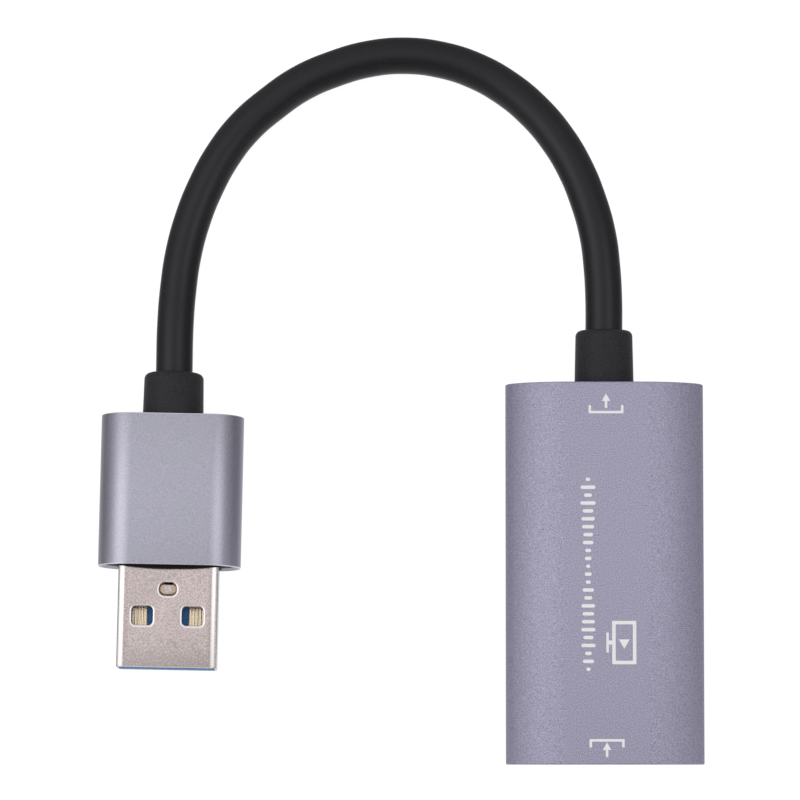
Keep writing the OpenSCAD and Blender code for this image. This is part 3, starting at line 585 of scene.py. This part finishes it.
dress(shell,
      grained("nickel_plate", (0.635, 0.545, 0.54), contrast=0.25, grain=0.2, roughness=0.17, metallic=1.0,
              relief=0.2, spread=0.05),
      # A brighter tone on rims, folds and tip, as painted highlight.
      grained("nickel_painted_highlight", (0.92, 0.87, 0.86), contrast=0.06, grain=0.3, roughness=0.3, metallic=1.0,
              relief=0.1),
      # A darker tone on the dimple's walls and floor, as painted shade.
      grained("nickel_painted_shade", (0.54, 0.43, 0.36), contrast=0.15, grain=0.2, roughness=0.24, metallic=1.0,
              relief=0.2))
start_edit(shell)
pick(shell, "EDGE", lambda e, m: abs(m.y - shell_tip) < near and sharp(e))
bevel(tip_break, tip_steps)
for index, test in ((1, painted_highlight), (2, painted_dimple_shade)):
    pick(shell, "FACE", test)
    shell.active_material_index = index
    bpy.ops.object.material_slot_assign()
end_edit()
shell.name = "stamped_plug_shell"
place(shell, plug_place)
smooth(shell)
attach(shell, "root")
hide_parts("plug_shell")


# Plug core: black plastic moulded round the shell's rear, the wires and the cable's end. Its front lies a
# little back in the sleeve's mouth, apart from a collar round the shell that bulges out of it.
seam = 0.05
sleeve_width, sleeve_length, sleeve_wall, sleeve_radius = 17.3, 18.4, 0.7, 4.0
core_inset, core_front = sleeve_wall + seam, -18.1
collar_width, collar_height, collar_corner = 12.6, 6.2, 1.6
collar_bulge, bulge_sides = 0.4, 512
neck_radius, flange_radius, flange_thickness, plug_neck = 2.75, 3.05, 1.2, 1.5
cable_diameter, cable_end = 4.5, -3.7


def add_rod(radius, start, end, sides=64):
    """A round rod along Y from start to end."""
    bpy.ops.object.select_all(action="DESELECT")
    bpy.ops.mesh.primitive_cylinder_add(
        vertices=sides, radius=radius * mm, depth=(end - start) * mm,
        location=(0, (start + end) / 2 * mm, 0), rotation=(math.radians(-90), 0, 0))
    return settle()


core = add_bar(sleeve_width - 2 * core_inset, sleeve_height - 2 * core_inset, sleeve_radius - core_inset,
               core_front, 0)
collar_front = -sleeve_length - collar_bulge
collar = add_bar(collar_width, collar_height, collar_corner, collar_front - past, core_front + past)
bulge_radius = (collar_width ** 2 / 4 + collar_bulge ** 2) / (2 * collar_bulge)
bpy.ops.object.select_all(action="DESELECT")
bpy.ops.mesh.primitive_cylinder_add(
    vertices=bulge_sides, radius=bulge_radius * mm, depth=2 * collar_height * mm,
    location=(0, (collar_front + bulge_radius) * mm, 0))
combine(collar, settle(), "INTERSECT")
combine(core, collar, "UNION")
shell_room = add_bar(shell_width + 2 * seam, shell_height + 2 * seam, fold_height,
                     collar_front - past, shell_back + seam, stretch=fold_stretch)
wire_room = add_block(
    (shell_width - 2 * shell_sheet, cable_end - shell_back, shell_height - 2 * shell_sheet),
    (0, (cable_end + shell_back) / 2, 0))
cable_room = add_rod(cable_diameter / 2 + seam, cable_end - seam, seam)
flange_room = add_rod(flange_radius + seam, -plug_neck - flange_thickness - seam, -plug_neck + seam)
neck_room = add_rod(neck_radius + seam, -plug_neck, seam)
for room in (shell_room, wire_room, cable_room, flange_room, neck_room):
    combine(core, room, "DIFFERENCE")
core.name = "moulded_plug_core"
place(core, plug_place)
smooth(core)
dress(core, grained("core_plastic", (0.012, 0.012, 0.013), contrast=0.4, grain=0.14, roughness=0.6,
                    relief=0.4, shine=0.1))
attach(core, "root")
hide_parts("plug_core")


# Plug sleeve: a short length of extruded aluminium tube, fine-blasted and anodised silver grey. It is pressed
# over the moulded core. Its mouth has a broad chamfer inside, and its other edges are turned bright.
sleeve_steps, sleeve_break, mouth_chamfer, chamfer_steps = 24, 0.1, 0.36, 1
sleeve = add_bar(sleeve_width, sleeve_height, sleeve_radius, -sleeve_length, 0, sleeve_steps)
start_edit(sleeve)
pick(sleeve, "FACE", lambda f, m: abs(f.normal.y) > facing)
bpy.ops.mesh.delete(type="ONLY_FACE")
end_edit()
use_modifier(sleeve, "SOLIDIFY", thickness=sleeve_wall * mm, offset=-1, use_even_offset=True)


def in_mouth(spot):
    """True for a place on the inner side of the sleeve's wall, at its front."""
    reach = math.hypot(max(abs(spot.x) - sleeve_width / 2 + sleeve_radius, 0),
                       max(abs(spot.z) - sleeve_height / 2 + sleeve_radius, 0))
    return reach < sleeve_radius - sleeve_wall / 2 and spot.y < -sleeve_length / 2


dress(sleeve,
      grained("silver_anodised", (0.46, 0.45, 0.535), contrast=0.14, grain=0.16, roughness=0.36, metallic=1.0,
              relief=0.15, spread=0.06),
      grained("turned_aluminium", (0.9, 0.9, 0.92), contrast=0.06, grain=0.2, roughness=0.25, metallic=1.0,
              relief=0.1))
start_edit(sleeve)
pick(sleeve, "EDGE", lambda e, m: across(e) and sharp(e) and in_mouth(m))
bevel(mouth_chamfer, chamfer_steps)
pick(sleeve, "EDGE", lambda e, m: across(e) and sharp(e) and not in_mouth(m))
bevel(sleeve_break, break_steps)
pick(sleeve, "FACE", lambda f, m: slight < abs(f.normal.y) < square and not in_mouth(m))
sleeve.active_material_index = 1
bpy.ops.object.material_slot_assign()
end_edit()
sleeve.name = "anodised_plug_sleeve"
place(sleeve, plug_place)
smooth(sleeve)
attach(sleeve, "root")
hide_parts("plug_sleeve")


# Boots: tapered strain reliefs moulded from black vinyl round the cable, one at the box and one at the plug.
# Each has a neck through the wall that holds it and a flange behind.
boot_edge, boot_steps, neck_step = 0.7, 6, 0.2
bore = cable_diameter / 2 + seam


def mould_boot(root, tip, length, neck):
    """A boot along Y, with its root at the origin, its tip at length and its flange behind a neck."""
    boot = add_rod(root / 2, 0, length)
    start_edit(boot)
    pick(boot, "FACE", lambda f, m: f.normal.y > facing)
    bpy.ops.transform.resize(value=(tip / root, 1, tip / root), center_override=(0, length * mm, 0))
    pick(boot, "EDGE", lambda e, m: m.y > length - near)
    bevel(boot_edge, boot_steps)
    pick(boot, "FACE", lambda f, m: f.normal.y > facing and m.y > length - near and m.xz.length < near)
    bpy.ops.mesh.inset(thickness=(tip / 2 - boot_edge - bore) * mm)
    bpy.ops.mesh.delete(type="ONLY_FACE")
    pick(boot, "FACE", lambda f, m: f.normal.y < -facing)
    bpy.ops.mesh.inset(thickness=(root / 2 - neck_radius) * mm)
    bpy.ops.mesh.extrude_region_move(TRANSFORM_OT_translate={"value": (0, -neck * mm, 0)})
    bpy.ops.mesh.inset(thickness=neck_step * mm)
    wider = flange_radius / (neck_radius - neck_step)
    bpy.ops.transform.resize(value=(wider, 1, wider), center_override=(0, -neck * mm, 0))
    bpy.ops.mesh.extrude_region_move(TRANSFORM_OT_translate={"value": (0, -flange_thickness * mm, 0)})
    bpy.ops.mesh.inset(thickness=(flange_radius - bore) * mm)
    bpy.ops.mesh.delete(type="ONLY_FACE")
    pick(boot, "EDGE", lambda e, m: len(e.link_faces) == 1)
    bpy.ops.mesh.bridge_edge_loops()
    bpy.ops.mesh.select_all(action="SELECT")
    bpy.ops.mesh.normals_make_consistent(inside=False)
    end_edit()
    return boot


moulded_vinyl = grained("moulded_vinyl", (0.021, 0.0205, 0.026), contrast=0.5, grain=0.18, roughness=0.5,
                        relief=1.0, depth=0.06, shine=0.26)
plug_boot_length = 5.3
plug_boot = mould_boot(root=7.4, tip=7.2, length=plug_boot_length, neck=plug_neck)
plug_boot.name = "moulded_plug_boot"
place(plug_boot, plug_place)
box_boot_root, box_boot_length = 22.8, 6.8
box_boot = mould_boot(root=7.2, tip=6.9, length=box_boot_length, neck=1.6)
box_boot.name = "moulded_box_boot"
place(box_boot, Matrix.Translation(Vector((0, box_boot_root, axis_height)) * mm))
for boot, node in ((plug_boot, "plug_boot"), (box_boot, "box_boot")):
    smooth(boot)
    dress(boot, moulded_vinyl)
    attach(boot, "root")
    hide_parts(node)


# Cable: a round jacket of black vinyl, extruded over the wires. It leaves the box level, comes down to the
# table in a loose arch and rises a little into the plug. Its ends are held inside the two boots.
box_boot_tip = box_boot_root + box_boot_length
lying_height = 2.3
box_run = (19.0, 24.3, box_boot_tip)
arch = [
    (0, 3.6, 3.2), (-0.2, 7.7, 3.1), (-0.7, 11.8, 2.8), (-1.8, 16, 2.3), (-3.4, 20.1, 1.7),
    (-5.6, 23.9, 1.1), (-8.4, 27.3, 0.6), (-11.8, 30.2, 0.2), (-15.7, 32.4, 0), (-19.8, 33.7, 0),
    (-24.2, 34.2, 0), (-28.6, 33.8, 0), (-32.8, 32.6, 0), (-36.9, 30.8, 0), (-40.5, 28.3, 0),
    (-43.8, 25.4, 0), (-46.5, 21.9, 0), (-48.6, 18, 0), (-50.2, 13.9, 0.1), (-51.3, 9.6, 0.4),
    (-51.9, 5.2, 0.8), (-52.2, 0.7, 1.3),
]
plug_run = (plug_boot_length, 0.8, cable_end)
route = [Vector((0, y, axis_height)) * mm for y in box_run]
route += [Vector((x, box_boot_tip + y, lying_height + z)) * mm for x, y, z in arch]
route += [plug_place @ Vector((0, y * mm, 0)) for y in plug_run]
bpy.ops.object.select_all(action="DESELECT")
bpy.ops.curve.primitive_bezier_curve_add(location=(0, 0, 0))
cable = bpy.context.object
cable.name = "black_cable"
cable.data.dimensions = "3D"
run = cable.data.splines[0]
run.bezier_points.add(len(route) - len(run.bezier_points))
for knot, spot in zip(run.bezier_points, route):
    knot.co = spot
    knot.handle_left_type = "AUTO"
    knot.handle_right_type = "AUTO"
cable.data.bevel_depth = cable_diameter / 2 * mm
cable.data.bevel_resolution = 10
cable.data.resolution_u = 8
cable.data.use_fill_caps = True
dress(cable, grained("black_vinyl", (0.006, 0.006, 0.009), contrast=0.4, grain=0.25, roughness=0.36,
                     relief=0.15, shine=0.38))
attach(cable, "root")
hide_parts("cable_jacket")


# Floor and light: a plain white table, and a soft box on the left under a sky of broad soft lights, brightest
# on the left, right and behind. The floor stays out of reflections, so the sky's lower part stands in for the
# table there.
table_size, table_drop = 4, 0.0001
bpy.ops.object.select_all(action="DESELECT")
bpy.ops.mesh.primitive_plane_add(size=table_size, location=(aim.x, aim.y, -table_drop))
floor = bpy.context.object
floor.name = "white_table"
floor.visible_glossy = False
white = bpy.data.materials.new("white_table")
white.use_nodes = True
paint = white.node_tree.nodes["Principled BSDF"]
paint.inputs["Base Color"].default_value = (0.22, 0.22, 0.22, 1)
paint.inputs["Roughness"].default_value = 0.9
paint.inputs["Specular IOR Level"].default_value = 0
paint.inputs["Emission Color"].default_value = (1, 1, 1, 1)
paint.inputs["Emission Strength"].default_value = 0.92
dress(floor, white)


def towards(tilt, turn):
    """The direction that leans from straight up by one angle, turned from the X axis by another."""
    lean, round_z = math.radians(tilt), math.radians(turn)
    return Vector((math.sin(lean) * math.cos(round_z), math.sin(lean) * math.sin(round_z), math.cos(lean)))


key_size, key_distance, key_radiance = 0.45, 0.7, 0.6
key_side = towards(tilt=40, turn=180)
bpy.ops.object.select_all(action="DESELECT")
bpy.ops.object.light_add(type="AREA", location=aim + key_side * key_distance,
                         rotation=key_side.to_track_quat("Z", "Y").to_euler())
key = bpy.context.object
key.name = "soft_box"
key.data.shape = "SQUARE"
key.data.size = key_size
key.data.energy = key_radiance * math.pi * key_size ** 2

# Each light of the sky: its tilt, its turn and how far it reaches, in degrees, and its strength.
sky_lights = (
    (0, 0, 100, 0.35),  # the whole ceiling
    (0, 0, 30, 0.1),  # straight above
    (38, 180, 45, 0.3),  # round the soft box, on the left
    (32, 0, 26, 0.95),  # a panel on the right
    (65, 30, 80, 0.28),  # right and behind
    (55, 150, 80, 0.43),  # left and behind
    (92, 325, 40, 0.45),  # low, right and in front
    (88, 215, 40, 0.3),  # low, left and in front
    (130, 270, 90, 0.65),  # the table in front
    (130, 90, 90, 0.25),  # the table behind
    (180, 0, 65, 0.2),  # the table straight below
)
sky = bpy.data.worlds.new("studio")
bpy.context.scene.world = sky
sky.use_nodes = True
sky_nodes, sky_links = sky.node_tree.nodes, sky.node_tree.links
ray = sky_nodes.new("ShaderNodeTexCoord")
total = None
for tilt, turn, reach, strength in sky_lights:
    lean = sky_nodes.new("ShaderNodeVectorMath")
    lean.operation = "DOT_PRODUCT"
    lean.inputs[1].default_value = towards(tilt, turn)
    sky_links.new(ray.outputs["Generated"], lean.inputs[0])
    fade = sky_nodes.new("ShaderNodeMapRange")
    fade.interpolation_type = "SMOOTHSTEP"
    fade.inputs["From Min"].default_value = math.cos(math.radians(reach))
    fade.inputs["From Max"].default_value = 1
    fade.inputs["To Min"].default_value = 0
    fade.inputs["To Max"].default_value = strength
    sky_links.new(lean.outputs["Value"], fade.inputs["Value"])
    glow = fade.outputs["Result"]
    if total is not None:
        both = sky_nodes.new("ShaderNodeMath")
        sky_links.new(total, both.inputs[0])
        sky_links.new(glow, both.inputs[1])
        glow = both.outputs["Value"]
    total = glow
sky_links.new(total, sky_nodes["Background"].inputs["Strength"])
sky_nodes["Background"].inputs["Color"].default_value = (1, 1, 1, 1)
